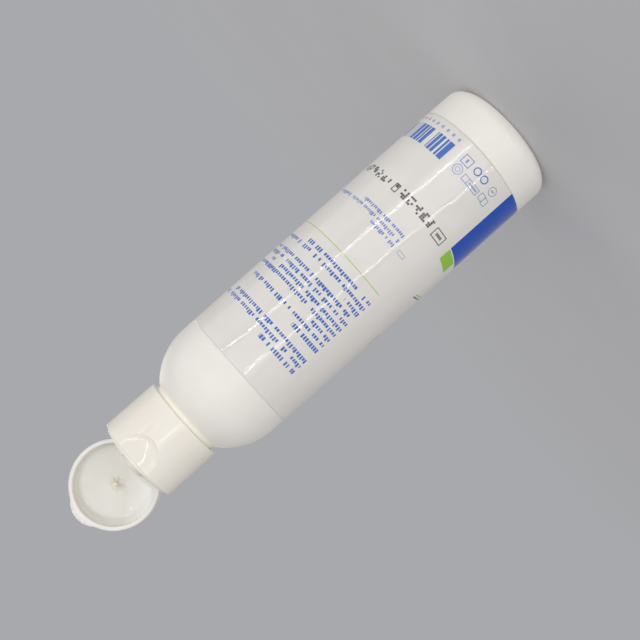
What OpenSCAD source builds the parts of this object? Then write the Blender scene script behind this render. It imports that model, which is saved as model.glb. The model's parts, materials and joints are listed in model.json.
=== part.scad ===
// Squeeze bottle for gel, with a wrapped label and a screwed flip-top cap.
// The bottle stands on its base: the axis is Z and the origin is the middle of the base.
// The front is -Y, where the thumb opens the lid, and the hinge is at the back.
// The lid is drawn open at a right angle, as it rests.

/* [Bottle] */
// Outer diameter of the bottle's body, without the label
body_d = 38.8; // [34:0.1:46]
// Height of the straight body, where the shoulder starts
body_h = 107.2; // [90:0.1:130]
// Height of the domed shoulder's ellipse above the body
shoulder_h = 19.9; // [16:0.1:23]
// Wall thickness of the bottle
wall = 0.9; // [0.6:0.05:1.5]
// Radius of the rounded edge round the base
base_r = 4.4; // [2:0.1:7]
// Height that the middle of the base is pushed up
push_up = 1.6; // [0.5:0.1:3]
// Width of the flat ring that the bottle stands on
foot_ring = 1.5; // [1:0.1:3]

/* [Neck] */
// Outer diameter of the collar under the cap
collar_d = 23.2; // [22:0.1:23.4]
// Height of the collar above the shoulder
collar_h = 2.6; // [1.5:0.1:4]
// Outer diameter of the neck between its threads
neck_d = 21.6; // [20:0.1:22]
// Diameter of the neck's bore
neck_bore_d = 18.4; // [16:0.1:19]
// Outer diameter over the neck's thread
thread_d = 23.5; // [22.4:0.1:23.6]
// Rise of the thread in one turn
thread_pitch = 3.2; // [2.5:0.1:4]
// Length of the thread in turns
thread_turns = 1.5; // [1:0.25:2]
// Height of the thread's ridge where it meets the neck
thread_root = 2.4; // [1.5:0.1:2.6]
// Height of the thread's flat crest
thread_crest = 0.9; // [0.3:0.1:1.2]
// Plain stretch of the neck above the thread
thread_start = 1.2; // [0.5:0.1:2.5]

/* [Label] */
// Thickness of the label film
label_t = 0.1; // [0.06:0.01:0.2]
// Height of the label's lower edge
label_low = 12.4; // [8:0.1:20]
// Height of the label film
label_h = 90.8; // [60:0.1:92]
// Width of the bare strip at the back, between the label's two ends
label_gap = 2; // [0.5:0.1:10]

/* [Gel] */
// Height of the gel's surface above the inside of the base
gel_level = 88; // [20:1:100]
// Clearance between the gel and the bottle's wall
gel_gap = 0.1; // [0.05:0.01:0.3]

/* [Cap] */
// Outer diameter of the cap where the lid meets it
cap_d = 27; // [26.4:0.1:30]
// Outer diameter of the cap at the end of its skirt
skirt_d = 26.7; // [26.3:0.1:30]
// Height of the cap from the end of its skirt to its top edge
cap_h = 17.4; // [15:0.1:20]
// Gap between the shoulder and the end of the skirt
skirt_gap = 1; // [0.5:0.1:2]
// Diameter of the bore that holds the neck
cap_bore_d = 24; // [23.8:0.1:24.4]
// Thickness of the cap's deck below its top edge
deck_t = 0.8; // [0.6:0.05:1.5]
// Clearance between the neck's end and the deck
neck_gap = 0.3; // [0.2:0.05:0.6]
// Height of the raised disc that the lid closes over
disc_h = 0.8; // [0.4:0.05:1.2]
// Clearance between the raised disc and the lid's walls
disc_gap = 0.3; // [0.2:0.05:0.6]
// Outer diameter of the spout
spout_d = 8; // [6:0.1:10]
// Height of the spout above the cap's top edge
spout_h = 3; // [2:0.1:4]
// Rounding of the spout's edge
spout_r = 0.6; // [0.3:0.05:1]
// Diameter of the outlet through the spout
outlet_d = 2.6; // [2.6:0.1:4]
// Depth of the ring that plugs the neck
plug_h = 2.2; // [1:0.1:4]
// Wall thickness of the ring that plugs the neck
plug_t = 0.9; // [0.6:0.05:1.5]
// Clearance between the plug ring and the neck's bore
plug_gap = 0.1; // [0.05:0.01:0.3]

/* [Thumb recess] */
// Width of the thumb recess
recess_w = 11.6; // [8:0.1:14]
// Length of the thumb recess, down from the cap's top edge
recess_h = 8.1; // [6.5:0.1:11]
// Depth of the thumb recess in the middle
recess_depth = 1; // [0.5:0.05:1.1]

/* [Lid] */
// Outside height of the lid
lid_h = 7.2; // [6:0.1:10]
// Thickness of the lid's flat top
lid_top = 1.2; // [0.8:0.05:1.6]
// Thickness of the lid's round wall at its rim
lid_wall = 1.15; // [1:0.05:1.8]
// How much the lid's inside narrows towards its top
lid_draft = 0.5; // [0.1:0.05:1]
// Rounding of the lid's top edge
lid_r = 1; // [0.4:0.05:1.2]
// Clearance between the lid and the cap when it is shut
lid_gap = 0.2; // [0.1:0.05:0.4]
// Distance from the axis to the lid's back wall, at its middle
back_mid = 7.8; // [6.8:0.1:8.2]
// Distance from the axis to the lid's back wall, at its corners
back_end = 8.9; // [8.3:0.1:9.4]
// Thickness of the lid's back wall
back_t = 0.7; // [0.5:0.05:1]
// Radius of the thumb tab's round outline
tab_r = 7.4; // [5:0.1:9]
// Distance from the lid's wall to the outer edge of the thumb tab
tab_reach = 1.2; // [0.8:0.1:2.5]
// Thickness of the thumb tab
tab_t = 2; // [1.2:0.1:3]
// Diameter of the pin that closes the outlet
pin_d = 1.8; // [1.2:0.1:1.8]
// Depth that the pin enters the outlet
pin_in = 2.4; // [0.5:0.1:2.6]
// Length of the pin's tapered tip
pin_tip = 0.5; // [0.2:0.05:1]
// Diameter of the flat end of the pin's tip
pin_end_d = 1.1; // [0.6:0.05:1.15]

/* [Hinge] */
// Distance from the axis to the hinge line
hinge_y = 11; // [10.8:0.1:11.2]
// Width of the hinge leaf
leaf_w = 7; // [4:0.1:9]
// Thickness of the hinge leaf
leaf_t = 0.8; // [0.6:0.05:1]
// Clearance between the leaf's end and the hinge bead
leaf_gap = 0.2; // [0.1:0.05:0.3]
// Width of the foot that carries the hinge bead
bead_foot = 0.56; // [0.4:0.02:0.6]

/* [Hidden] */
$fn = 96;
eps = 0.01;
// How far a cut runs on past the solid that it goes through
cut = 1;

body_r = body_d / 2;
collar_r = collar_d / 2;
neck_r = neck_d / 2;
neck_bore_r = neck_bore_d / 2;
foot_r = body_r - base_r;
// Height at which the shoulder's ellipse meets the collar
shoulder_z = body_h + shoulder_h * sqrt(1 - pow(collar_r / body_r, 2));
// Outline of the space inside the bottle, one wall in from the outside
inner_r = body_r - wall;
inner_shoulder = shoulder_h - wall;
inner_base_r = base_r - wall;
push_r = foot_r - foot_ring;

skirt_z = shoulder_z + skirt_gap;
top_z = skirt_z + cap_h;
neck_top_z = top_z - deck_t - neck_gap;
cap_r = cap_d / 2;
skirt_r = skirt_d / 2;

// The lid's inside, and the shallow arc of its back wall
lid_in_r = cap_r - lid_wall;
back_sag = back_end - back_mid;
back_half = sqrt(cap_r * cap_r - back_end * back_end);
back_arc_r = (back_half * back_half + back_sag * back_sag) / (2 * back_sag);
tab_y = cap_r + tab_reach - tab_r;
pin_len = lid_h - lid_top + lid_gap - spout_h + pin_in;
pin_z = lid_h - lid_top - pin_len;

// The hinge line runs through the middle of the leaf's thickness
bead_r = leaf_t / 2;
hinge_z = top_z + lid_gap + bead_r;
arc_steps = 12;
dome_steps = 28;
// Rings of the thread in one turn, and rings over which each end fades into the neck
thread_steps = 24;
thread_fade = 4;
thread_sunk = 0.3;

// Points of an elliptic arc round (cx, cy), from angle a to angle b
function arc(cx, cy, rx, ry, a, b, n = arc_steps) =
    [for (i = [0 : n]) let (t = a + (b - a) * i / n) [cx + rx * cos(t), cy + ry * sin(t)]];

// Outline of the bottle's outside, from the middle of the pushed-up base to the neck's end
function bottle_outer() = concat(
    arc(0, 0, push_r, push_up, 90, 0),
    arc(foot_r, base_r, base_r, base_r, -90, 0),
    arc(0, body_h, body_r, shoulder_h, 0, acos(collar_r / body_r), dome_steps),
    [[collar_r, shoulder_z + collar_h], [neck_r, shoulder_z + collar_h + collar_r - neck_r],
     [neck_r, neck_top_z], [0, neck_top_z]]);

// Outline of the space inside the bottle up to the neck's bore, drawn in by gap
function bottle_inner(gap) = concat(
    arc(0, wall + gap, push_r, push_up, 90, 0),
    arc(foot_r, base_r, inner_base_r - gap, inner_base_r - gap, -90, 0),
    arc(0, body_h, inner_r - gap, inner_shoulder - gap, 0, acos(neck_bore_r / inner_r), dome_steps));

module ring(r_out, r_in, h) {
    difference() {
        cylinder(r = r_out, h = h);
        translate([0, 0, -eps]) cylinder(r = r_in, h = h + 2 * eps);
    }
}

// Section of the thread at ring i of n, sunk a little into the neck
function thread_ring(i, n) =
    let (a = 360 * thread_turns * i / n,
         fade = min(1, i / thread_fade, (n - i) / thread_fade),
         z = thread_pitch * a / 360,
         root_r = neck_r - thread_sunk,
         crest_r = root_r + (thread_d / 2 - root_r) * fade)
    [for (q = [[root_r, -thread_root / 2], [crest_r, -thread_crest / 2],
               [crest_r, thread_crest / 2], [root_r, thread_root / 2]])
        [q[0] * cos(a), q[0] * sin(a), z + q[1]]];

// Right-hand thread, from its lower end up
module thread() {
    n = round(thread_turns * thread_steps);
    points = [for (i = [1 : n - 1]) each thread_ring(i, n)];
    last = len(points) - 4;
    polyhedron(points, concat(
        [[3, 2, 1, 0]],
        [for (i = [0 : 4 : last - 4], k = [0 : 3]) let (a = i + k, b = i + (k + 1) % 4) each
            [[a, b, b + 4], [a, b + 4, a + 4]]],
        [[last, last + 1, last + 2, last + 3]]));
}

module bottle() {
    thread_z = neck_top_z - thread_start - thread_root / 2 - thread_turns * thread_pitch;
    color("ivory") difference() {
        union() {
            rotate_extrude() polygon(bottle_outer());
            translate([0, 0, thread_z]) thread();
        }
        rotate_extrude() polygon(concat(bottle_inner(0),
            [[neck_bore_r, neck_top_z + cut], [0, neck_top_z + cut]]));
    }
}

module label() {
    color("whitesmoke") translate([0, 0, label_low]) difference() {
        ring(body_r + label_t, body_r, label_h);
        translate([-label_gap / 2, 0, -cut]) cube([label_gap, body_d, label_h + 2 * cut]);
    }
}

module gel() {
    color("lightyellow") intersection() {
        rotate_extrude() polygon(concat(bottle_inner(gel_gap), [[0, neck_top_z]]));
        cylinder(r = body_r, h = push_up + wall + gel_level);
    }
}

// The recess has a round lower end and an even depth in the round skirt
module thumb_recess() {
    half = recess_w / 2;
    difference() {
        translate([0, 0, top_z]) rotate([90, 0, 0]) linear_extrude(height = cap_d) union() {
            translate([0, half - recess_h]) circle(r = half);
            translate([-half, half - recess_h]) square([recess_w, recess_h]);
        }
        cylinder(r = cap_r - recess_depth, h = top_z + recess_h);
    }
}

// The lid's outline, drawn in by side at the round wall and by back at the back wall
module lid_outline(side, back) {
    difference() {
        circle(r = cap_r - side);
        translate([0, back_mid + back_arc_r - back]) circle(r = back_arc_r);
    }
}

module cap_base() {
    color("white") difference() {
        union() {
            difference() {
                translate([0, 0, skirt_z]) cylinder(r1 = skirt_r, r2 = cap_r, h = cap_h);
                translate([0, 0, skirt_z - eps])
                    cylinder(d = cap_bore_d, h = cap_h - deck_t + eps);
                thumb_recess();
            }
            // Raised disc, cut back for the lid's back wall
            translate([0, 0, top_z - eps]) linear_extrude(height = disc_h + eps)
                lid_outline(lid_wall + disc_gap, back_t + disc_gap);
            spout();
            // Ring that plugs the neck
            translate([0, 0, top_z - deck_t - neck_gap - plug_h])
                ring(neck_bore_r - plug_gap, neck_bore_r - plug_gap - plug_t,
                     plug_h + neck_gap + eps);
            hinge_bead();
        }
        translate([0, 0, top_z - deck_t - cut])
            cylinder(d = outlet_d, h = deck_t + spout_h + 2 * cut);
    }
}

module spout() {
    rotate_extrude() polygon(concat([[0, top_z - eps], [spout_d / 2, top_z - eps]],
        arc(spout_d / 2 - spout_r, top_z + spout_h - spout_r, spout_r, spout_r, 0, 90),
        [[0, top_z + spout_h]]));
}

// Round bead of the film hinge, on a low foot
module hinge_bead() {
    translate([-leaf_w / 2, hinge_y, hinge_z]) rotate([0, 90, 0]) cylinder(r = bead_r, h = leaf_w);
    translate([-leaf_w / 2, hinge_y - bead_foot / 2, top_z - eps])
        cube([leaf_w, bead_foot, hinge_z - top_z]);
}

// The lid as it lies when shut, with its rim at height 0
module lid_shut() {
    inner_top_r = lid_in_r - lid_draft;
    difference() {
        union() {
            intersection() {
                rotate_extrude() polygon(concat([[0, 0], [cap_r, 0]],
                    arc(cap_r - lid_r, lid_h - lid_r, lid_r, lid_r, 0, 90), [[0, lid_h]]));
                linear_extrude(height = lid_h) lid_outline(0, 0);
            }
            translate([0, -tab_y, 0]) cylinder(r = tab_r, h = tab_t);
        }
        intersection() {
            translate([0, 0, -eps])
                cylinder(r1 = lid_in_r, r2 = inner_top_r, h = lid_h - lid_top + eps);
            translate([0, 0, -cut]) linear_extrude(height = lid_h - lid_top + cut)
                lid_outline(lid_wall, back_t);
        }
    }
    // Pin that closes the outlet, with a tapered tip
    translate([0, 0, pin_z + pin_tip]) cylinder(d = pin_d, h = pin_len - pin_tip + eps);
    translate([0, 0, pin_z]) cylinder(d1 = pin_end_d, d2 = pin_d, h = pin_tip);
    hinge_leaf();
}

// Leaf that runs from the lid's back wall to the hinge bead
module hinge_leaf() {
    difference() {
        translate([-leaf_w / 2, back_mid - back_t / 2, 0])
            cube([leaf_w, hinge_y - back_mid + back_t / 2, leaf_t]);
        translate([-leaf_w, hinge_y, bead_r]) rotate([0, 90, 0])
            cylinder(r = bead_r + leaf_gap, h = leaf_w * 2);
    }
}

module cap_lid() {
    color("snow") translate([0, hinge_y, hinge_z]) rotate([-90, 0, 0])
        translate([0, -hinge_y, -bead_r]) lid_shut();
}

bottle();
label();
gel();
cap_base();
cap_lid();
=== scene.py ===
"""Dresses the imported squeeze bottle: moulded shells, wrapped label, flip-top cap, hinge and gel residue."""

import json
import math

import bpy
from mathutils import Matrix, Quaternion, Vector, noise


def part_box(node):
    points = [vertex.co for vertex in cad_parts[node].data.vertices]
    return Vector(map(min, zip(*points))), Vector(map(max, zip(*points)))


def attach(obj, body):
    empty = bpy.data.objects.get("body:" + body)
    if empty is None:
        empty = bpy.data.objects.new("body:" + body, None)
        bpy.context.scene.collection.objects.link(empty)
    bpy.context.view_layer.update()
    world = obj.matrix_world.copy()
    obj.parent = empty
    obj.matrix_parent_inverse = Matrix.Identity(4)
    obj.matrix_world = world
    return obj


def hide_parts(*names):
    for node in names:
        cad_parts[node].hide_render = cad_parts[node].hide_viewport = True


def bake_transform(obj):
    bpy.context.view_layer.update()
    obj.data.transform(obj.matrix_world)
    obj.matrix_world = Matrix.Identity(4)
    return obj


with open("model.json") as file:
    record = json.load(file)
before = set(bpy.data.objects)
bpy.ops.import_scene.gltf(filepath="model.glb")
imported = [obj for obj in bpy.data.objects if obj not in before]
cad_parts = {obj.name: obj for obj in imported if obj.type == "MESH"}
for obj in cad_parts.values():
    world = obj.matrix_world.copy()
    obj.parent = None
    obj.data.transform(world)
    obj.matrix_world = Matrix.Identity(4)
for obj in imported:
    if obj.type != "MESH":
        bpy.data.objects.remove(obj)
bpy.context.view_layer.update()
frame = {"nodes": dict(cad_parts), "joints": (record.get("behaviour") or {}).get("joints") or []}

MM = 0.001

# Sizes read from the frame, in millimetres
label_low, label_high = (corner.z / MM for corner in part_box("label"))
label_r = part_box("label")[1].x / MM
body_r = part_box("bottle")[1].x / MM
neck_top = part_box("bottle")[1].z / MM
cap_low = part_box("cap_base")[0] / MM
hinge = Vector(next(j["pos_m"] for j in frame["joints"] if j["name"] == "lid_hinge")) / MM

# Sizes of the mouldings that the frame's boxes do not give, in millimetres
WALL = 0.9
BODY_TOP, SHOULDER_H = 107.2, 19.9
BASE_R, PUSH_UP, FOOT_RING = 4.4, 1.6, 1.5
COLLAR_R, COLLAR_H = 11.6, 2.6
NECK_R, NECK_BORE_R = 10.8, 9.2
THREAD_R, THREAD_PITCH, THREAD_TURNS = 11.75, 3.2, 1.5
# The thread ends below the neck's top, and THREAD_HALF and CREST_HALF are half its widths
THREAD_DROP, THREAD_HALF, CREST_HALF, CREST_ROUND, THREAD_SINK = 1.2, 1.2, 0.4, 0.15, 0.2
# The label's film lies a little inside its node's box, so that its uneven face stays within it
FILM_T, FILM_INSET, FILM_SWELL, LABEL_GAP = 0.07, 0.02, 0.015, 2.0

CAP_R, SKIRT_R, CAP_H = 13.5, 13.35, 17.4
CAP_BORE_R, LIP_R, LIP_H, LIP_SLOPE, DECK_T = 12.0, 11.75, 1.1, 0.3, 0.8
DISC_H, DISC_GAP = 0.8, 0.3
SPOUT_R, SPOUT_H, SPOUT_EDGE, OUTLET_R = 4.0, 3.0, 0.6, 1.3
PLUG_OUT_R, PLUG_T, PLUG_DROP = 9.1, 0.9, 2.5
RECESS_HALF, RECESS_H, RECESS_DEPTH = 5.8, 8.1, 1.0
RECESS_STEP, RECESS_SLOPE, RECESS_SOFT = 0.45, 0.85, 0.45

LID_H, LID_TOP, LID_WALL, LID_DRAFT, LID_EDGE = 7.2, 1.2, 1.15, 0.5, 1.0
BACK_MID, BACK_END, BACK_T = 7.8, 8.9, 0.7
CORNER_OUT, CORNER_IN = 0.5, 0.6
TAB_R, TAB_REACH, TAB_T = 7.4, 1.2, 2.0
PIN_R, PIN_TIP, PIN_IN = 0.9, 0.5, 2.4
LEAF_W, LEAF_T, LID_GAP = 7.0, 0.8, 0.2

skirt_z = cap_low.z
deck_z = skirt_z + CAP_H


def smooth(t):
    """A soft step from 0 to 1 as t goes from 0 to 1."""
    t = min(1.0, max(0.0, t))
    return t * t * (3 - 2 * t)


def soft_min(a, b, width):
    """The lesser of a and b, with the corner between them rounded over width."""
    h = max(width - abs(a - b), 0.0) / width
    return min(a, b) - h * h * width / 4


# Meshes


def mesh_object(name, verts, faces, materials):
    """A smooth-shaded object from points in millimetres."""
    mesh = bpy.data.meshes.new(name)
    mesh.from_pydata([(x * MM, y * MM, z * MM) for x, y, z in verts], [], faces)
    mesh.polygons.foreach_set("use_smooth", [True] * len(mesh.polygons))
    for material in materials:
        mesh.materials.append(material)
    mesh.validate()
    mesh.update()
    obj = bpy.data.objects.new(name, mesh)
    bpy.context.scene.collection.objects.link(obj)
    return obj


def rounded(corners, steps):
    """Points of an outline of (r, z, radius) corners, each corner with a radius turned into an arc."""
    points = []
    last = len(corners) - 1
    for i, (r, z, radius) in enumerate(corners):
        if radius <= 0 or i in (0, last):
            points.append((r, z))
            continue
        here = Vector((r, z))
        before = Vector(corners[i - 1][:2]) - here
        after = Vector(corners[i + 1][:2]) - here
        turn = before.angle(after, math.pi)
        reach = min(radius / max(math.tan(turn / 2), 1e-6), before.length * 0.49, after.length * 0.49)
        start = here + before.normalized() * reach
        end = here + after.normalized() * reach
        for k in range(steps + 1):
            t = k / steps
            points.append(tuple(start.lerp(here, t).lerp(here.lerp(end, t), t)))
    return points


def turned(name, profile, angles, materials, closed=False):
    """A mesh from profile(angle), a list of (r, z) points for each angle from the front towards +X.
    A profile that starts or ends on the axis is closed there by a fan, and a closed one joins its ends."""
    rows = [profile(a) for a in angles]
    count, sides = len(rows[0]), len(angles)
    start_pole = not closed and rows[0][0][0] == 0
    end_pole = not closed and rows[0][-1][0] == 0
    first = 1 if start_pole else 0
    last = count - 1 if end_pole else count
    verts = [
        (r * math.sin(a), -r * math.cos(a), z)
        for i in range(first, last)
        for a, (r, z) in ((a, row[i]) for a, row in zip(angles, rows))
    ]
    rings = last - first
    faces = []
    for i in range(rings if closed else rings - 1):
        low, high = i * sides, (i + 1) % rings * sides
        for j in range(sides):
            k = (j + 1) % sides
            faces.append((low + j, low + k, high + k, high + j))
    if start_pole:
        verts.append((0, 0, rows[0][0][1]))
        centre = len(verts) - 1
        faces += [(centre, (j + 1) % sides, j) for j in range(sides)]
    if end_pole:
        verts.append((0, 0, rows[0][-1][1]))
        centre, top = len(verts) - 1, (rings - 1) * sides
        faces += [(centre, top + j, top + (j + 1) % sides) for j in range(sides)]
    return mesh_object(name, verts, faces, materials)


def even_angles(count):
    return [2 * math.pi * j / count for j in range(count)]


def arc(cr, cz, rr, rz, start, end, steps):
    """Points of an elliptic arc in the (r, z) plane, with angles in degrees."""
    turns = [math.radians(start + (end - start) * k / steps) for k in range(steps + 1)]
    return [(cr + rr * math.cos(t), cz + rz * math.sin(t)) for t in turns]


# Materials


class Graph:
    """A material's node tree, with short ways to add and join its nodes."""

    def __init__(self, name, **values):
        self.material = bpy.data.materials.new(name)
        self.material.use_nodes = True
        self.tree = self.material.node_tree
        self.shader = self.tree.nodes["Principled BSDF"]
        for socket, value in values.items():
            self.shader.inputs[socket.replace("_", " ")].default_value = value

    def put(self, socket, value):
        if isinstance(value, bpy.types.NodeSocket):
            self.tree.links.new(value, socket)
        else:
            socket.default_value = value

    def add(self, kind, inputs=None, **settings):
        node = self.tree.nodes.new(kind)
        for key, value in settings.items():
            setattr(node, key, value)
        for key, value in (inputs or {}).items():
            self.put(node.inputs[key], value)
        return node

    def math(self, operation, a, b=0.0, clamp=False):
        node = self.add("ShaderNodeMath", {0: a, 1: b}, operation=operation, use_clamp=clamp)
        return node.outputs[0]

    def length(self, a, b):
        """How far the point (a, b) lies from (0, 0)."""
        squares = [self.math("POWER", part, 2.0) for part in (a, b)]
        return self.math("SQRT", self.math("ADD", *squares))

    def noise(self, vector, scale, detail=2.0, roughness=0.5):
        inputs = {"Vector": vector, "Scale": scale, "Detail": detail, "Roughness": roughness}
        return self.add("ShaderNodeTexNoise", inputs).outputs["Fac"]

    def range(self, value, low, high, to_low=0.0, to_high=1.0):
        """value from low..high moved to to_low..to_high, and held there outside."""
        inputs = {"Value": value, "From Min": low, "From Max": high, "To Min": to_low, "To Max": to_high}
        return self.add("ShaderNodeMapRange", inputs).outputs[0]

    def mix(self, factor, a, b):
        inputs = {"Factor": factor, 6: a, 7: b}
        return self.add("ShaderNodeMix", inputs, data_type="RGBA").outputs[2]

    def bump(self, height, distance, strength=1.0, normal=None):
        inputs = {"Height": height, "Distance": distance, "Strength": strength}
        node = self.add("ShaderNodeBump", inputs)
        if normal is not None:
            self.put(node.inputs["Normal"], normal)
        return node.outputs["Normal"]

    def place(self):
        """Object coordinates in millimetres."""
        coords = self.add("ShaderNodeTexCoord").outputs["Object"]
        node = self.add("ShaderNodeVectorMath", {0: coords}, operation="SCALE")
        node.inputs["Scale"].default_value = 1 / MM
        return node.outputs[0]

    def split(self, vector):
        return self.add("ShaderNodeSeparateXYZ", {0: vector}).outputs


def rgb(*levels):
    """A display colour from 0 to 255 as linear values."""
    shares = [level / 255 for level in levels]
    linear = [s / 12.92 if s <= 0.04045 else ((s + 0.055) / 1.055) ** 2.4 for s in shares]
    return (*linear, 1.0)


def white_plastic(name, light, dark, gloss, grain, soft, mirror=0.5, warp=0.05, painted_glow=None):
    """Moulded white plastic: a faint mottle of two whites, uneven gloss, a slight warp and a fine skin.
    The last argument is (colour, low, high): between the two heights the plastic is painted that lighter
    colour, as painted light."""
    g = Graph(name, IOR=1.5, Subsurface_Weight=soft, Subsurface_Scale=0.8 * MM)
    g.shader.inputs["Specular IOR Level"].default_value = mirror
    g.shader.inputs["Subsurface Radius"].default_value = (1.0, 0.92, 0.8)
    at = g.place()
    colour = g.mix(g.range(g.noise(at, 0.09, 3.0), 0.3, 0.7), light, dark)
    if painted_glow:
        tint, low, high = painted_glow
        z = g.split(at)[2]
        above = g.range(z, low - 0.5, low + 0.3)
        below = g.range(z, high, high + 1.0, 1.0, 0.0)
        colour = g.mix(g.math("MULTIPLY", above, below), colour, tint)
    g.put(g.shader.inputs["Base Color"], colour)
    worn = g.noise(at, 0.35, 4.0, 0.6)
    g.put(g.shader.inputs["Roughness"], g.range(worn, 0.25, 0.75, gloss - 0.03, gloss + 0.05))
    broad = g.bump(g.noise(at, 0.12, 1.0), warp * MM, 0.5)
    fine = g.bump(g.noise(at, 6.0, 3.0, 0.6), grain * MM, 0.35, broad)
    g.put(g.shader.inputs["Normal"], fine)
    return g.material


# Painted light: the neck is painted a lighter cream between these heights, round the collar and under the
# cap's edge, for the light that shines through the cap's skirt into the gap
PAINTED_GLOW_LOW, PAINTED_GLOW_HIGH = 122.6, 127.0

bottle_plastic = white_plastic(
    "bottle_plastic", rgb(239, 236, 231), rgb(236, 232, 226), gloss=0.4, grain=0.02, soft=0.3,
    # The lighter cream band round the collar is painted light
    painted_glow=(rgb(255, 251, 238), PAINTED_GLOW_LOW, PAINTED_GLOW_HIGH),
)
cap_plastic = white_plastic(
    "cap_plastic", rgb(240, 235, 226), rgb(238, 232, 221), gloss=0.14, grain=0.003, soft=0.3, warp=0.015
)
recess_plastic = white_plastic(
    "recess_plastic", rgb(240, 235, 225), rgb(238, 232, 220), gloss=0.06, grain=0.002, soft=0.1, warp=0.015
)
lid_plastic = white_plastic(
    "lid_plastic", rgb(240, 237, 233), rgb(237, 234, 229), gloss=0.2, grain=0.004, soft=0.2, mirror=0.3
)
# The spout is a little darker than the cap: wet with gel, and painted shade under the open lid
spout_wet_shade_plastic = white_plastic(
    "spout_wet_shade_plastic", rgb(236, 231, 222), rgb(230, 225, 214), gloss=0.14, grain=0.004, soft=0.2
)
pin_plastic = white_plastic(
    "pin_plastic", rgb(238, 234, 216), rgb(232, 227, 207), gloss=0.1, grain=0.004, soft=0.2
)


# The cream smear round the lid's pin: how far its middle lies below the pin, and where it fades out
SMEAR_DROP, SMEAR_NEAR, SMEAR_FAR = 1.0, 0.8, 2.7
# Painted light: the gel is painted whiter and less clear at one side of the lid, where the light falls on it,
# and gets clearer between these two places
PAINTED_SIDE_FULL, PAINTED_SIDE_NONE = -13.0, -3.0


def gel_material():
    """Clear wet gel with a pale yellow smear round the pin, painted whiter and less clear on one side as
    painted light.
    """
    g = Graph("gel_residue", IOR=1.36, Coat_Weight=1.0, Coat_Roughness=0.03)
    at = g.place()
    tint = g.mix(g.range(g.noise(at, 0.14, 2.0), 0.35, 0.65), rgb(248, 248, 244), rgb(243, 243, 238))
    x, _, z = g.split(at)
    rise = g.math("SUBTRACT", z, hinge.z + hinge.y - SMEAR_DROP)
    ragged = g.math("ADD", g.length(x, rise), g.range(g.noise(at, 0.9, 2.0), 0.3, 0.7, -1.1, 1.1))
    tint = g.mix(g.range(ragged, SMEAR_NEAR, SMEAR_FAR, 0.8, 0.0), tint, rgb(246, 242, 224))
    # Painted light: whiter and less clear towards the side that the light falls on
    painted_light_side = g.range(g.math("ADD", x, rise), PAINTED_SIDE_FULL, PAINTED_SIDE_NONE, 1.0, 0.0)
    tint = g.mix(painted_light_side, tint, rgb(255, 255, 252))
    g.put(g.shader.inputs["Base Color"], tint)
    g.put(g.shader.inputs["Alpha"], g.range(painted_light_side, 0.0, 1.0, 0.66, 0.92))
    g.put(g.shader.inputs["Roughness"], g.range(g.noise(at, 1.2, 2.0), 0.3, 0.7, 0.05, 0.14))
    g.put(g.shader.inputs["Normal"], g.bump(g.noise(at, 0.3, 1.0), 0.012 * MM, 0.5))
    return g.material


gel_wet = gel_material()

# Label print, placed by the arc length u from the front line towards +X and the height z, in millimetres
INK_BLUE = rgb(0, 98, 190)
PANEL_BLUE = rgb(0, 74, 182)
LEAF_GREEN = rgb(150, 200, 62)
PALE_INK = rgb(236, 238, 242)
CODE_BLACK = rgb(28, 28, 34)


class Print:
    """Masks and inks on the label, over its film colour."""

    def __init__(self, graph, paper):
        self.g = graph
        uv = graph.add("ShaderNodeUVMap", uv_map="print").outputs[0]
        self.u, self.z, _ = graph.split(uv)
        self.colour = paper

    def both(self, *masks):
        """1 where all the masks are 1."""
        made = masks[0]
        for mask in masks[1:]:
            made = self.g.math("MULTIPLY", made, mask)
        return made

    def band(self, value, low, high, soft=0.06):
        """1 where value lies between low and high, with soft edges."""
        up = self.g.range(value, low - soft, low + soft)
        down = self.g.range(value, high - soft, high + soft, 1.0, 0.0)
        return self.g.math("MULTIPLY", up, down)

    def box(self, u0, u1, z0, z1):
        return self.both(self.band(self.u, u0, u1), self.band(self.z, z0, z1))

    def frame(self, u0, u1, z0, z1, line):
        """The outline of a box, with lines of a given width inside its edges."""
        inner = self.box(u0 + line, u1 - line, z0 + line, z1 - line)
        return self.g.math("SUBTRACT", self.box(u0, u1, z0, z1), inner, clamp=True)

    def ring(self, u, z, radius, line):
        far = self.g.length(self.g.math("SUBTRACT", self.u, u), self.g.math("SUBTRACT", self.z, z))
        return self.band(far, radius - line, radius)

    def ink(self, mask, colour, strength=1.0):
        """Lays an ink over what is printed so far."""
        if strength != 1.0:
            mask = self.g.math("MULTIPLY", mask, strength)
        self.colour = self.g.mix(mask, self.colour, colour)

    def random(self, a, b):
        """A number from 0 to 1 that looks random, and is the same wherever a and b are the same."""
        vector = self.g.add("ShaderNodeCombineXYZ", {0: a, 1: b}).outputs[0]
        return self.g.add("ShaderNodeTexWhiteNoise", {"Vector": vector}, noise_dimensions="2D").outputs[0]

    def steps(self, row, pairs):
        """The (share, flag) pair that belongs to each whole number of row."""
        count = len(pairs)
        middle = self.g.math("ADD", row, 0.5)
        node = self.g.add("ShaderNodeValToRGB", {0: self.g.math("DIVIDE", middle, float(count))})
        ramp = node.color_ramp
        ramp.interpolation = "CONSTANT"
        while len(ramp.elements) < count:
            ramp.elements.new(1.0)
        for i, (share, flag) in enumerate(pairs):
            ramp.elements[i].position = i / count
            ramp.elements[i].color = (share, share, share, 1.0 if flag else 0.0)
        return node.outputs["Color"], node.outputs["Alpha"]


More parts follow.
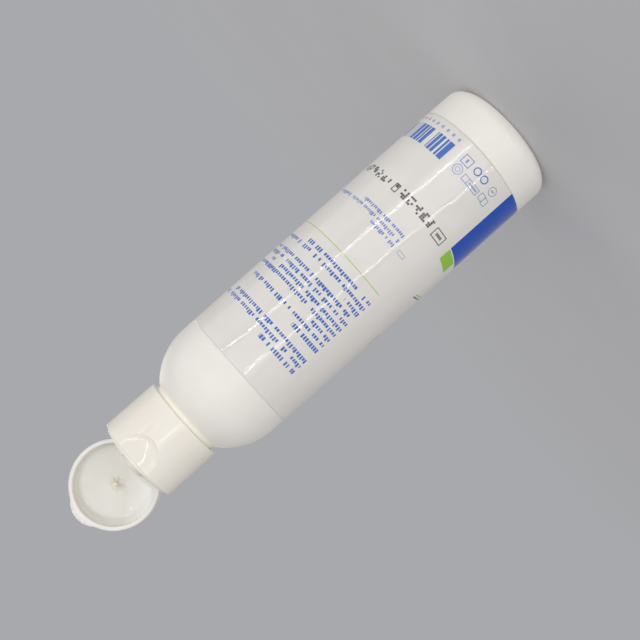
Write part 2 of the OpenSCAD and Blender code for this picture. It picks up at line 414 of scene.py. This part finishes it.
# Text of the back panel: (how far the line runs towards +X, heading or not); None is an empty line
TEXT_LEFT, TEXT_TOP, TEXT_PITCH, TEXT_CELL = -12.8, 93.0, 2.165, 0.92
TEXT_LINES = [
    (2.0, True), (26.5, False), (22.0, False), None, (-1.7, True), (21.0, False), (-4.5, False),
    (25.5, False), (20.5, False), (27.5, False), (26.0, False), (-6.3, False), (26.8, False), (16.2, False),
]
SMALL_LEFT, SMALL_TOP, SMALL_PITCH, SMALL_CELL = -4.5, 49.2, 1.87, 0.7
SMALL_LINES = [(5.4, False), (25.0, False), (12.2, False)]
LONGEST = 40.0

# Each cell of a line may hold a block: the shares of a cell that its ink fills, and how many cells are
# empty or hold a low block
FILL_LEAST, FILL_MOST, EMPTY_SHARE, LOW_SHARE = 0.5, 0.84, 0.17, 0.68
# Where blocks begin and end below a line's top, as shares of its pitch, and how far some rise above that
LETTER_TOP, LETTER_FOOT, TALL_RISE, HEADING_RISE = 0.24, 0.68, 0.19, 0.16
# Added to a row's number, so that each kind of random choice differs
EMPTY_SEED, TALL_SEED, CODE_SEED = 40.0, 80.0, 120.0


def print_lines(p, left, top, pitch, lines, cell_w, strength):
    """Lines of small upright blocks with gaps between words, in place of text. Headings are taller."""
    g = p.g
    down = g.math("DIVIDE", g.math("SUBTRACT", top, p.z), pitch)
    row = g.math("FLOOR", down)
    within = g.math("FRACT", down)
    ends = [(0.0, False) if line is None else ((line[0] - left) / LONGEST, line[1]) for line in lines]
    end, heading = p.steps(row, ends)
    cell = g.math("FLOOR", g.math("DIVIDE", p.u, cell_w))
    inside = g.math("FRACT", g.math("DIVIDE", p.u, cell_w))
    wide = g.range(p.random(cell, row), 0.0, 1.0, FILL_LEAST, FILL_MOST)
    shape = g.range(g.math("SUBTRACT", inside, wide), -0.06, 0.06, 1.0, 0.0)
    there = g.math("GREATER_THAN", p.random(cell, g.math("ADD", row, EMPTY_SEED)), EMPTY_SHARE)
    tall = g.math("GREATER_THAN", p.random(cell, g.math("ADD", row, TALL_SEED)), LOW_SHARE)
    rises = g.math("MULTIPLY", heading, HEADING_RISE), g.math("MULTIPLY", tall, TALL_RISE)
    upper = g.math("GREATER_THAN", within, g.math("SUBTRACT", LETTER_TOP, g.math("MAXIMUM", *rises)))
    lower = g.math("LESS_THAN", within, LETTER_FOOT)
    far = g.math("LESS_THAN", g.math("SUBTRACT", p.u, left), g.math("MULTIPLY", end, LONGEST))
    near = g.math("GREATER_THAN", p.u, left)
    block_area = p.band(down, 0.0, float(len(lines)))
    p.ink(p.both(shape, there, upper, lower, far, near, block_area), INK_BLUE, strength)


def print_text(p):
    """The text block of the back panel and the small one below it."""
    print_lines(p, TEXT_LEFT, TEXT_TOP, TEXT_PITCH, TEXT_LINES, TEXT_CELL, 0.95)
    print_lines(p, SMALL_LEFT, SMALL_TOP, SMALL_PITCH, SMALL_LINES, SMALL_CELL, 0.8)


# The code's row: frames (u0, u1, z0, z1), boxes (u0, u1, z0, z1, strength) and runs of dots (start, end)
CODE_LOW, CODE_HIGH, CODE_DOT = 35.1, 37.9, 0.7
CODE_FRAMES = [(-13.4, -8.7, 35.3, 38.5), (6.9, 8.7, 35.3, 38.1)]
CODE_BOXES = [(-12.3, -9.8, 36.45, 37.35, 0.75), (7.3, 8.3, 35.6, 36.6, 0.9)]
CODE_RUNS = [(-7.3, 5.6), (10.4, 24.6)]
# Every fourth column of dots is empty, counted from a column before the runs, and so is a share of the rest
CODE_BEFORE, CODE_COLUMNS, CODE_EMPTY = 120.0, 4.0, 0.38


def print_code(p):
    """Boxed marks and rows of black dots, in place of the stamped code."""
    g = p.g
    for corners in CODE_FRAMES:
        p.ink(p.frame(*corners, 0.3), CODE_BLACK, 0.9)
    for *corners, strength in CODE_BOXES:
        p.ink(p.box(*corners), CODE_BLACK, strength)
    across = g.math("DIVIDE", p.u, CODE_DOT)
    along = g.math("DIVIDE", g.math("SUBTRACT", p.z, CODE_LOW), CODE_DOT)
    column, line = g.math("FLOOR", across), g.math("FLOOR", along)
    shape = p.both(*[p.band(g.math("FRACT", value), 0.04, 0.96) for value in (across, along)])
    on = g.math("GREATER_THAN", p.random(column, g.math("ADD", line, CODE_SEED)), CODE_EMPTY)
    turn = g.math("MODULO", g.math("ADD", column, CODE_BEFORE), CODE_COLUMNS)
    filled = g.math("GREATER_THAN", turn, 0.5)
    for start, end in CODE_RUNS:
        p.ink(p.both(shape, on, filled, p.box(start, end, CODE_LOW, CODE_HIGH)), CODE_BLACK, 0.9)


# The bars and the dots under them: where both start and end, their heights and their pitches
BARS_START, BARS_END = 5.4, 36.0
BARS_Z, BAR_PITCH, BAR_EMPTY, BAR_SEED = (16.5, 22.6), 0.36, 0.46, 7.0
DOTS_Z, DOT_PITCH, DOT_START, DOT_END = (14.2, 15.2), 2.4, 0.2, 0.55


def print_stripes(p):
    """Upright blue bars of uneven width, with a row of dots under them."""
    g = p.g
    cell = g.math("FLOOR", g.math("DIVIDE", p.u, BAR_PITCH))
    on = g.math("GREATER_THAN", p.random(cell, BAR_SEED), BAR_EMPTY)
    p.ink(p.both(on, p.box(BARS_START, BARS_END, *BARS_Z)), INK_BLUE, 0.9)
    share = g.math("FRACT", g.math("DIVIDE", p.u, DOT_PITCH))
    dots = p.band(share, DOT_START, DOT_END)
    p.ink(p.both(dots, p.box(BARS_START, BARS_END, *DOTS_Z)), INK_BLUE, 0.6)


# Plain marks: rings (u, z, radius, line, strength), frames (u0, u1, z0, z1, line, strength) and
# boxes (u0, u1, z0, z1, strength)
MARK_RINGS = [
    (-0.1, 20.8, 1.55, 0.2, 0.8), (-0.1, 20.8, 0.8, 0.2, 0.6), (-7.4, 17.0, 1.25, 0.35, 0.95),
    (-4.4, 17.0, 1.25, 0.35, 0.95), (-11.8, 17.1, 1.4, 0.2, 0.8),
]
MARK_FRAMES = [
    (-9.0, -2.5, 19.9, 21.9, 0.2, 0.8), (-13.4, -11.6, 19.6, 21.9, 0.2, 0.8),
    (-11.8, -9.8, 19.4, 21.6, 0.2, 0.8), (-1.9, 1.3, 15.8, 18.7, 0.22, 0.9),
    (-9.0, -6.2, 47.75, 48.95, 0.16, 0.7),
]
MARK_BOXES = [
    (-4.6, -4.4, 19.9, 21.9, 0.8), (-8.5, -5.1, 20.6, 21.2, 0.6), (-0.6, 0.0, 16.6, 17.9, 0.7),
    (-12.4, -11.2, 16.9, 17.3, 0.7),
]


def print_marks(p):
    """Plain outlined shapes in two short rows and beside the small text, in place of the symbols."""
    for u, z, radius, line, strength in MARK_RINGS:
        p.ink(p.ring(u, z, radius, line), INK_BLUE, strength)
    for *corners, line, strength in MARK_FRAMES:
        p.ink(p.frame(*corners, line), INK_BLUE, strength)
    for *corners, strength in MARK_BOXES:
        p.ink(p.box(*corners), INK_BLUE, strength)


# Front panel: its two edges, and the heights of its blue and green fields, whose tops slant
PANEL_START, PANEL_END, PANEL_SLANT = -17.1, -57.5, -0.13
BLUE_LOW, BLUE_HIGH, GREEN_LOW, GREEN_HIGH, GREEN_END = -5.0, 35.8, 36.15, 40.1, -24.4
# Its curved stripe: where it starts, its height, and its wave's height, middle and radians per millimetre
STRIPE_START, STRIPE_Z, WAVE_H, WAVE_MIDDLE, WAVE_TURN = -23.0, 52.0, 2.4, -24.0, 0.095
# Its straight bands, each (u0, u1, z0, z1, colour, strength)
PANEL_BANDS = [
    (-50.0, -29.0, 66.0, 71.0, PANEL_BLUE, 1.0), (-50.0, -36.0, 61.5, 63.4, LEAF_GREEN, 1.0),
    (PANEL_END, -34.0, 84.0, 93.0, PANEL_BLUE, 1.0), (PANEL_END, -34.0, 82.2, 83.4, LEAF_GREEN, 1.0),
    (-52.0, -31.0, 25.2, 26.8, PALE_INK, 0.85), (-52.0, -38.0, 21.6, 22.8, PALE_INK, 0.85),
]


def print_front(p):
    """Fields of colour on the front panel: a blue field, a green one, a fine curved stripe and bands."""
    g = p.g
    slant = g.math("MULTIPLY", g.math("SUBTRACT", p.u, PANEL_START), PANEL_SLANT)
    level = g.math("SUBTRACT", p.z, slant)
    p.ink(p.both(p.band(p.u, PANEL_END, PANEL_START), p.band(level, BLUE_LOW, BLUE_HIGH)), PANEL_BLUE)
    p.ink(p.both(p.band(p.u, GREEN_END, PANEL_START), p.band(level, GREEN_LOW, GREEN_HIGH)), LEAF_GREEN)
    turn = g.math("SINE", g.math("MULTIPLY", g.math("SUBTRACT", p.u, WAVE_MIDDLE), WAVE_TURN))
    stripe = g.math("SUBTRACT", p.z, g.math("ADD", g.math("MULTIPLY", turn, WAVE_H), STRIPE_Z))
    for low, high, colour in ((-0.25, 0.25, PANEL_BLUE), (-1.15, -0.75, LEAF_GREEN)):
        p.ink(p.both(p.band(p.u, PANEL_END, STRIPE_START), p.band(stripe, low, high)), colour)
    for *corners, colour, strength in PANEL_BANDS:
        p.ink(p.box(*corners), colour, strength)


# The fine line under the text: (u0, u1, z0, z1)
GREEN_LINE = (-12.4, 32.0, 60.07, 60.33)


def label_material():
    """Glossy white film with blue, green and black print, faint ripples and worn patches."""
    g = Graph("label_film", IOR=1.5)
    paper = g.mix(g.range(g.noise(g.place(), 0.1, 3.0), 0.3, 0.7), rgb(232, 228, 224), rgb(229, 225, 220))
    p = Print(g, paper)
    p.ink(p.box(*GREEN_LINE), LEAF_GREEN, 0.85)
    for part in (print_text, print_code, print_stripes, print_marks, print_front):
        part(p)
    g.put(g.shader.inputs["Base Color"], p.colour)
    at = g.place()
    g.put(g.shader.inputs["Roughness"], g.range(g.noise(at, 0.16, 4.0, 0.65), 0.42, 0.6, 0.02, 0.13))
    ripple = g.bump(g.noise(at, 0.05, 1.0), 0.3 * MM)
    crease = g.bump(g.noise(at, 0.13, 0.0), 0.11 * MM, 1.0, ripple)
    fine = g.bump(g.noise(at, 0.6, 3.0, 0.6), 0.026 * MM, 1.0, crease)
    g.put(g.shader.inputs["Normal"], fine)
    return g.material


film = label_material()

# Bottle: one blow-moulded shell, outside and inside


def bottle_profile(_angle):
    foot_r = body_r - BASE_R
    push_r = foot_r - FOOT_RING
    lean = math.degrees(math.acos(COLLAR_R / body_r))
    collar_z = BODY_TOP + SHOULDER_H * math.sqrt(1 - (COLLAR_R / body_r) ** 2)
    inner_r = body_r - WALL
    bore_lean = math.degrees(math.acos(NECK_BORE_R / inner_r))
    outer = [(0, PUSH_UP)] + arc(0, 0, push_r, PUSH_UP, 88, 0, 14)
    outer += arc(foot_r, BASE_R, BASE_R, BASE_R, -90, 0, 16)
    outer += [(body_r, BASE_R + (BODY_TOP - BASE_R) * k / 40) for k in range(1, 40)]
    # The shoulder's arc stops a little short of the collar, to leave room for the rounding between them
    outer += arc(0, BODY_TOP, body_r, SHOULDER_H, 0, lean, 60)[:-4]
    neck = rounded(
        [
            (*outer[-1], 0), (COLLAR_R, collar_z, 0.9), (COLLAR_R, collar_z + COLLAR_H, 0.4),
            (NECK_R, collar_z + COLLAR_H + COLLAR_R - NECK_R, 0.3), (NECK_R, neck_top, 0.3),
            (NECK_BORE_R, neck_top, 0.3), (NECK_BORE_R, collar_z, 0),
        ],
        4,
    )[1:-1]
    inner = arc(0, BODY_TOP, inner_r, SHOULDER_H - WALL, bore_lean, 0, 40)
    inner += arc(foot_r, BASE_R, BASE_R - WALL, BASE_R - WALL, 0, -90, 12)
    inner += arc(0, WALL, push_r, PUSH_UP, 0, 88, 14) + [(0, WALL + PUSH_UP)]
    return outer + neck + inner


def add_thread(obj):
    """Joins the neck's thread to the bottle's mesh as a swept ridge, sunk a little into the neck."""
    per_turn, fade, flattest = 96, 14, 0.04
    count = int(THREAD_TURNS * per_turn)
    base = neck_top - THREAD_DROP - THREAD_HALF - THREAD_TURNS * THREAD_PITCH
    root = NECK_R - THREAD_SINK
    verts = [v.co / MM for v in obj.data.vertices]
    faces = [tuple(f.vertices) for f in obj.data.polygons]
    start = len(verts)
    for i in range(count + 1):
        share = min(1.0, i / fade, (count - i) / fade)
        crest = root + (THREAD_R - root) * max(share, flattest)
        a = 2 * math.pi * i / per_turn
        z = base + THREAD_PITCH * i / per_turn
        upper = [(crest, CREST_HALF), (crest - CREST_ROUND, CREST_HALF + CREST_ROUND), (root, THREAD_HALF)]
        section = [(r, -dz) for r, dz in reversed(upper)] + upper
        verts += [Vector((r * math.cos(a), r * math.sin(a), z + dz)) for r, dz in section]
    sides = len(section)
    for i in range(count):
        a = start + i * sides
        for k in range(sides):
            n = (k + 1) % sides
            faces.append((a + k, a + sides + k, a + sides + n, a + n))
    faces.append(tuple(start + k for k in range(sides)))
    faces.append(tuple(start + count * sides + k for k in reversed(range(sides))))
    made = mesh_object(obj.name + "_made", [tuple(v) for v in verts], faces, [bottle_plastic])
    obj.data = made.data
    bpy.data.objects.remove(made)


bottle = turned("bottle_shell", bottle_profile, even_angles(256), [bottle_plastic])
add_thread(bottle)
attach(bottle, "bottle")
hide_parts("bottle")

# Label: a thin film wrapped round the body, open along a strip at the back


def make_label():
    """The film's outer and inner faces with their edges, and a UV map that holds u and z in millimetres."""
    columns, rows = 480, 150
    half = math.pi - LABEL_GAP / 2 / label_r
    across = [-half + 2 * half * j / columns for j in range(columns + 1)]
    up = [label_low + (label_high - label_low) * i / rows for i in range(rows + 1)]
    verts, faces = [], []
    for side in range(2):
        for z in up:
            for a in across:
                swell = noise.noise(Vector((math.sin(a) * 2.2, math.cos(a) * 2.2, z * 0.05)))
                r = label_r - FILM_INSET + FILM_SWELL * swell - side * FILM_T
                verts.append((r * math.sin(a), -r * math.cos(a), z))
    wide = columns + 1
    per_side = (rows + 1) * wide
    for i in range(rows):
        for j in range(columns):
            a = i * wide + j
            faces.append((a, a + 1, a + wide + 1, a + wide))
            b = a + per_side
            faces.append((b, b + wide, b + wide + 1, b + 1))
    for j in range(columns):
        a, b = j, rows * wide + j
        faces.append((a, a + per_side, a + per_side + 1, a + 1))
        faces.append((b, b + 1, b + per_side + 1, b + per_side))
    for i in range(rows):
        a, b = i * wide, i * wide + columns
        faces.append((a, a + wide, a + wide + per_side, a + per_side))
        faces.append((b, b + per_side, b + wide + per_side, b + wide))
    obj = mesh_object("label_film", verts, faces, [film])
    layer = obj.data.uv_layers.new(name="print")
    for loop in obj.data.loops:
        i, j = divmod(loop.vertex_index % per_side, wide)
        layer.data[loop.index].uv = (across[j] * label_r, up[i])
    return obj


label = make_label()
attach(label, "bottle")
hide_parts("label")

# The gel inside is the frame's own solid, with a material of its own
frame["nodes"]["gel"].data.materials.clear()
frame["nodes"]["gel"].data.materials.append(gel_wet)

# Cap, and the arc of the lid's back wall, which the cap's disc follows

back_sag = BACK_END - BACK_MID
back_half_sq = CAP_R ** 2 - BACK_END ** 2
back_arc_r = (back_half_sq + back_sag ** 2) / (2 * back_sag)


def back_limit(angle, nearest):
    """How far the shallow arc at the lid's back lies from the axis at an angle, and nearest at its middle."""
    toward = -math.cos(angle)
    centre = nearest + back_arc_r
    under = (toward * centre) ** 2 - centre ** 2 + back_arc_r ** 2
    if toward <= 0 or under <= 0:
        return math.inf
    return toward * centre - math.sqrt(under)


def lid_edge(angle, side, back, soft):
    """Radius of the lid's outline, drawn in by side at the round wall and by back at the back wall."""
    return soft_min(CAP_R - side, back_limit(angle, BACK_MID - back), soft)


def recess(angle, z):
    """Depth of the thumb recess in the round wall: a short slope at its edge and a shallow bowl inside it."""
    if math.cos(angle) < 0:
        return 0.0
    above = max(0.0, deck_z + RECESS_HALF - RECESS_H - z)
    inside = max(0.0, RECESS_HALF - math.hypot(CAP_R * math.sin(angle), above))
    slope = RECESS_STEP / RECESS_SLOPE * inside
    step = max(0.0, soft_min(slope, RECESS_STEP, RECESS_SOFT))
    return step + (RECESS_DEPTH - RECESS_STEP) * (1 - (1 - inside / RECESS_HALF) ** 2)


def cap_profile(angle):
    disc = lid_edge(angle, LID_WALL + DISC_GAP, BACK_T + DISC_GAP, CORNER_IN)
    under = deck_z - DECK_T
    plug_low = under - PLUG_DROP
    plug_in = PLUG_OUT_R - PLUG_T
    lip_z = skirt_z + LIP_H
    disc_z = deck_z + DISC_H
    spout_top = deck_z + SPOUT_H
    # The wall starts above the skirt's rounded edge, reaches the recess and ends below the rim's rounding
    plain_z, recess_z, rim_z = skirt_z + 1.0, deck_z - RECESS_H - 0.3, deck_z - 0.45
    start = rounded(
        [
            (OUTLET_R, under + 0.3, 0), (OUTLET_R, under, 0.15), (plug_in, under, 0.3),
            (plug_in, plug_low, 0.25), (PLUG_OUT_R, plug_low, 0.35), (PLUG_OUT_R, under, 0.3),
            (CAP_BORE_R, under, 0.4),
            (CAP_BORE_R, lip_z + LIP_SLOPE, 0.2), (LIP_R, lip_z, 0.2), (LIP_R, skirt_z, 0.15),
            (SKIRT_R, skirt_z, 0.22), (SKIRT_R + 0.01, plain_z, 0),
        ],
        4,
    )
    # Its points lie close together where the recess is
    heights = [plain_z + (recess_z - plain_z) * k / 10 for k in range(1, 11)]
    heights += [recess_z + (rim_z - recess_z) * k / 64 for k in range(1, 65)]
    wall = []
    for z in heights:
        r = SKIRT_R + (CAP_R - SKIRT_R) * (z - skirt_z) / CAP_H
        wall.append((r - recess(angle, z), z))
    top = rounded(
        [
            (*wall[-1], 0), (CAP_R - recess(angle, deck_z), deck_z, 0.32), (disc, deck_z, 0.12),
            (disc, disc_z, 0.25), (SPOUT_R, disc_z, 0.35), (SPOUT_R, spout_top, SPOUT_EDGE),
            (OUTLET_R, spout_top, 0.35), (OUTLET_R, spout_top - 1.2, 0),
        ],
        6,
    )[1:]
    return start + wall + top


# The angles lie close together across the recess, which is less than FRONT radians wide on each side
FRONT, FRONT_COUNT, ROUND_COUNT = 0.5, 260, 240
cap_angles = [-FRONT + 2 * FRONT * j / FRONT_COUNT for j in range(FRONT_COUNT)]
cap_angles += [FRONT + 2 * (math.pi - FRONT) * j / ROUND_COUNT for j in range(ROUND_COUNT)]
cap = turned("cap_body", cap_profile, cap_angles, [cap_plastic, spout_wet_shade_plastic, recess_plastic], closed=True)
SPOUT_SLOT, RECESS_SLOT = 1, 2
for face in cap.data.polygons:
    middle = face.center / MM
    out = middle.xy.length
    if CAP_BORE_R + 0.1 < out and middle.z < deck_z - 0.1:
        if recess(math.atan2(middle.x, -middle.y), middle.z) > 0.04:
            face.material_index = RECESS_SLOT
    # The spout's faces take the darker plastic: wet gel and painted shade
    if middle.z > deck_z + DISC_H + 0.05 and out < SPOUT_R + 0.3:
        face.material_index = SPOUT_SLOT
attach(cap, "cap")
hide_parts("cap_base")

# Lid, made as it lies when shut with its rim at height 0, and then opened to its rest
lid_at_rest = (
    Matrix.Translation(hinge * MM)
    @ Matrix.Rotation(math.radians(-90), 4, "X")
    @ Matrix.Translation(Vector((0, -hinge.y, -LEAF_T / 2)) * MM)
)
LID_IN_R = CAP_R - LID_WALL
FLOOR_Z = LID_H - LID_TOP
# The pin's tip, which lies PIN_IN below the spout's top when the lid is shut
PIN_Z = SPOUT_H - LID_GAP - PIN_IN


def tab_edge(angle):
    """Radius of the thumb tab's outline seen from the lid's axis."""
    centre = CAP_R + TAB_REACH - TAB_R
    under = TAB_R ** 2 - (centre * math.sin(angle)) ** 2
    return centre * math.cos(angle) + math.sqrt(max(under, 0.0))


def lid_profile(angle):
    outer = lid_edge(angle, 0, 0, CORNER_OUT)
    rim = -soft_min(-outer, -tab_edge(angle), 0.15)
    mouth = lid_edge(angle, LID_WALL, BACK_T, CORNER_IN)
    floor_r = lid_edge(angle, LID_WALL + LID_DRAFT, BACK_T, CORNER_IN)
    inside = rounded(
        [
            (0, PIN_Z + 0.3, 0), (PIN_R * 0.3, PIN_Z + 0.25, 0.1), (PIN_R * 0.6, PIN_Z, 0.15),
            (PIN_R, PIN_Z + PIN_TIP, 0.2), (PIN_R, FLOOR_Z, 0.5),
            (floor_r, FLOOR_Z, 1.6), (mouth, 0, 0.45), (rim, 0, 0.25),
        ],
        6,
    )
    outside = rounded(
        [
            (*inside[-1], 0), (rim, 0, 0.25), (rim, TAB_T, 0.4), (outer + 0.02, TAB_T + 0.05, 0.3),
            (outer, LID_H, LID_EDGE), (0, LID_H, 0),
        ],
        6,
    )[1:]
    return inside[:-1] + outside


lid = turned("lid_shell", lid_profile, even_angles(720), [lid_plastic, pin_plastic, cap_plastic])
PIN_SLOT, INSIDE_SLOT = 1, 2
for face in lid.data.polygons:
    middle = face.center / MM
    out = middle.xy.length
    if out < PIN_R + 0.05 and middle.z < FLOOR_Z:
        face.material_index = PIN_SLOT
    elif 0.5 < middle.z < FLOOR_Z + 0.05 and out < LID_IN_R and face.normal.xy.dot(middle.xy) <= 0:
        face.material_index = INSIDE_SLOT
lid.data.transform(lid_at_rest)
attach(lid, "lid")
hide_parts("cap_lid")

# Film hinge: one thin strip from the cap's deck to the lid's back wall, thinnest at the hinge line

# The strip's half thickness at the hinge line, and how far from it the strip is full
STRIP_THIN, STRIP_TAPER = 0.16, 0.9
# How far the strip runs into the deck and into the lid, and how much wider it gets at the lid
STRIP_SUNK, STRIP_IN, STRIP_FLARE, FLARE_H = 0.15, 0.2, 0.35, 0.8


def make_hinge():
    steps = 35
    low = deck_z - STRIP_SUNK
    top = hinge.z + (hinge.y - BACK_MID) + STRIP_IN
    verts = []
    for i in range(steps + 1):
        z = low + (top - low) * i / steps
        thick = STRIP_THIN + (LEAF_T / 2 - STRIP_THIN) * smooth(abs(z - hinge.z) / STRIP_TAPER)
        wide = LEAF_W / 2 + STRIP_FLARE * smooth((z - (top - FLARE_H)) / FLARE_H)
        cut = min(0.15, thick * 0.6)
        half = [(-wide, cut - thick), (cut - wide, -thick), (wide - cut, -thick), (wide, cut - thick)]
        outline = half + [(-x, -y) for x, y in half]
        verts += [(x, hinge.y + y, z) for x, y in outline]
    sides = len(outline)
    faces = []
    for i in range(steps):
        a = i * sides
        for k in range(sides):
            n = (k + 1) % sides
            faces.append((a + k, a + n, a + sides + n, a + sides + k))
    faces.append(tuple(reversed(range(sides))))
    faces.append(tuple(steps * sides + k for k in range(sides)))
    return mesh_object("hinge_strip", verts, faces, [cap_plastic])


strip = make_hinge()
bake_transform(strip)

# Gel left in the lid: a wet film over the floor that climbs the wall and the pin

# The film's thickness and its swell, and how far the gel runs into the lid's wall and floor
GEL_T, GEL_SWELL, GEL_IN_WALL, GEL_IN_FLOOR = 2.1, 0.02, 0.5, 0.15
# The heap round the pin: its height, its reach, and how far and how many its arms are
HEAP_H, HEAP_REACH, ARM_REACH, ARM_COUNT, ARM_TURN = 0.4, 0.7, 1.4, 7, 1.2
# How high the gel climbs the wall and from how far off, and what the piled up side adds to both
CLIMB_H, CLIMB_REACH, PILE_H, PILE_REACH = 0.6, 1.3, 0.8, 2.2
PILE_SIDE = math.radians(315)
# A few drops that stand on the gel: (x, y, width, height)
DROPS = [
    (-0.8, -8.3, 0.4, 0.07), (-2.9, -1.8, 0.35, 0.06), (-1.9, -0.2, 0.35, 0.07), (-7.8, -1.5, 0.45, 0.08),
]


def gel_height(angle, r, edge):
    """Thickness of the gel left on the lid's floor."""
    x, y = r * math.sin(angle), -r * math.cos(angle)
    swell = noise.fractal(Vector((x * 0.35, y * 0.35, 2.0)), 1.0, 2.0, 3)
    # The arms are longest on the side of the hinge
    long_side = 0.25 + 0.75 * smooth(0.5 - 0.8 * math.cos(angle))
    arms = (0.5 + 0.5 * math.cos(ARM_COUNT * angle + ARM_TURN)) * long_side
    spread = HEAP_REACH + ARM_REACH * arms
    heap = HEAP_H * math.exp(-((r - PIN_R) / spread) ** 2) * (0.55 + 0.45 * arms)
    pile = smooth(0.5 + 0.5 * math.cos(angle - PILE_SIDE))
    reach = CLIMB_REACH + PILE_REACH * pile
    wall = (CLIMB_H + PILE_H * pile) * smooth((r - edge + reach) / reach) ** 1.5
    drops = sum(h * math.exp(-((x - u) ** 2 + (y - v) ** 2) / w ** 2) for u, v, w, h in DROPS)
    return GEL_T + GEL_SWELL * swell + heap + wall + drops


def gel_profile(angle):
    """The gel's wet face from the pin to the wall, and its hidden underside back to the pin."""
    steps = 90
    start = PIN_R * 0.9
    edge = lid_edge(angle, LID_WALL + LID_DRAFT, BACK_T, CORNER_IN) + GEL_IN_WALL
    radii = [start + (edge - start) * k / steps for k in range(steps + 1)]
    face = [(r, FLOOR_Z - gel_height(angle, r, edge)) for r in radii]
    return face + [(r, FLOOR_Z + GEL_IN_FLOOR) for r in radii[::-6]]


gel = turned("gel_residue", gel_profile, even_angles(288), [gel_wet], closed=True)
gel.data.transform(lid_at_rest)
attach(gel, "lid")

# Stage: a pale floor that sweeps up into far walls all round
STAGE_R, SWEEP_R, WALL_TOP = 1500.0, 900.0, 2600.0
NEAR_R, FAR_R = 120.0, 520.0
FLOOR_GREY, FAR_GREY = (200, 200, 202), (168, 169, 172)


def stage_profile(_angle):
    flat = STAGE_R - SWEEP_R
    sweep = arc(flat, SWEEP_R, SWEEP_R, SWEEP_R, -90, 0, 24)
    return [(0, 0)] + [(flat * k / 12, 0) for k in range(1, 12)] + sweep + [(STAGE_R, WALL_TOP)]


def stage_material():
    """Pale grey that takes the light near the object and glows evenly further out, so no edge shows."""
    g = Graph("stage_grey", Roughness=0.9, IOR=1.3)
    at = g.place()
    mottle = g.range(g.noise(at, 0.02, 4.0), 0.3, 0.7)
    g.put(g.shader.inputs["Base Color"], g.mix(mottle, rgb(*FLOOR_GREY), rgb(*[c + 3 for c in FLOOR_GREY])))
    far = g.add("ShaderNodeVectorMath", {0: at}, operation="LENGTH").outputs["Value"]
    glow = g.add("ShaderNodeEmission", {"Color": rgb(*FAR_GREY), "Strength": 1.0}).outputs[0]
    blend = g.range(far, NEAR_R, FAR_R)
    mixed = g.add("ShaderNodeMixShader", {0: blend, 1: g.shader.outputs[0], 2: glow}).outputs[0]
    g.put(g.tree.nodes["Material Output"].inputs["Surface"], mixed)
    return g.material


floor = turned("floor", stage_profile, even_angles(96), [stage_material()])
floor.data.flip_normals()
# The long lamps run on below the floor, which neither mirrors them nor stops their light
floor.visible_glossy = False
floor.visible_shadow = False

# Lights, placed round the object by compass angle from the camera's direction and height above the floor

LAMP_COLOUR = (1.0, 0.985, 0.96)
MIDDLE = Vector((0, 0, 80))
CAMERA_SIDE = -4.6


def around(angle, distance, height):
    """A point at an angle from the camera's direction, towards +X, in degrees."""
    a = math.radians(CAMERA_SIDE + angle)
    return Vector((distance * math.sin(a), -distance * math.cos(a), height))


def area_light(name, at, size, watts, tilt=0.0):
    """A rectangular lamp that faces the object's middle, leaning by tilt degrees from upright."""
    light = bpy.data.lights.new(name, "AREA")
    light.shape = "RECTANGLE"
    light.size, light.size_y = (s * MM for s in size)
    light.energy = watts
    light.color = LAMP_COLOUR
    obj = bpy.data.objects.new(name, light)
    obj.location = at * MM
    obj.rotation_mode = "QUATERNION"
    facing = (at - MIDDLE).to_track_quat("Z", "Y")
    obj.rotation_quaternion = facing @ Quaternion((0, 0, 1), math.radians(tilt))
    obj.visible_camera = False
    bpy.context.scene.collection.objects.link(obj)


# Two long thin lamps that lean together, for the highlight lines
TUBE_TILT = -44.0
area_light("tube_right", around(35.3, 1100, 0), (16, 2200), 2.2, TUBE_TILT)
area_light("tube_left", around(-14.6, 1100, 0), (16, 2200), 1.7, TUBE_TILT)
area_light("soft_front", around(8, 1000, 420), (1100, 800), 3.2)
area_light("soft_low", around(8, 1000, -300), (1100, 500), 2.4)
area_light("fill_left", around(-50, 1000, 250), (900, 900), 1.2)
area_light("fill_right", around(78, 1000, 250), (1000, 900), 1.8)
area_light("soft_back", around(170, 1100, 700), (1100, 700), 3)

world = bpy.data.worlds.new("studio")
world.use_nodes = True
sky = world.node_tree.nodes["Background"]
sky.inputs["Color"].default_value = (1.0, 0.99, 0.97, 1)
sky.inputs["Strength"].default_value = 0.45
bpy.context.scene.world = world

# Camera, at the photograph's viewing angle
CAMERA_AT = Vector((-28.543, -354.530, 97.802))
VIEW_RIGHT = Vector((-0.66562, -0.00126, -0.74629))
VIEW_DOWN = Vector((-0.74330, 0.09064, 0.66279))
LENS = 69.083


def make_camera():
    data = bpy.data.cameras.new("camera")
    data.lens, data.sensor_width = LENS, 36.0
    data.clip_start, data.clip_end = 0.01, 20.0
    camera = bpy.data.objects.new("camera", data)
    right, up = VIEW_RIGHT.normalized(), -VIEW_DOWN.normalized()
    back = right.cross(up)
    turn = Matrix((right, up, back)).transposed().to_4x4()
    camera.matrix_world = Matrix.Translation(CAMERA_AT * MM) @ turn
    bpy.context.scene.collection.objects.link(camera)
    return camera


bpy.context.scene.camera = make_camera()
bpy.context.scene.view_settings.view_transform = "Standard"

bpy.context.view_layer.update()
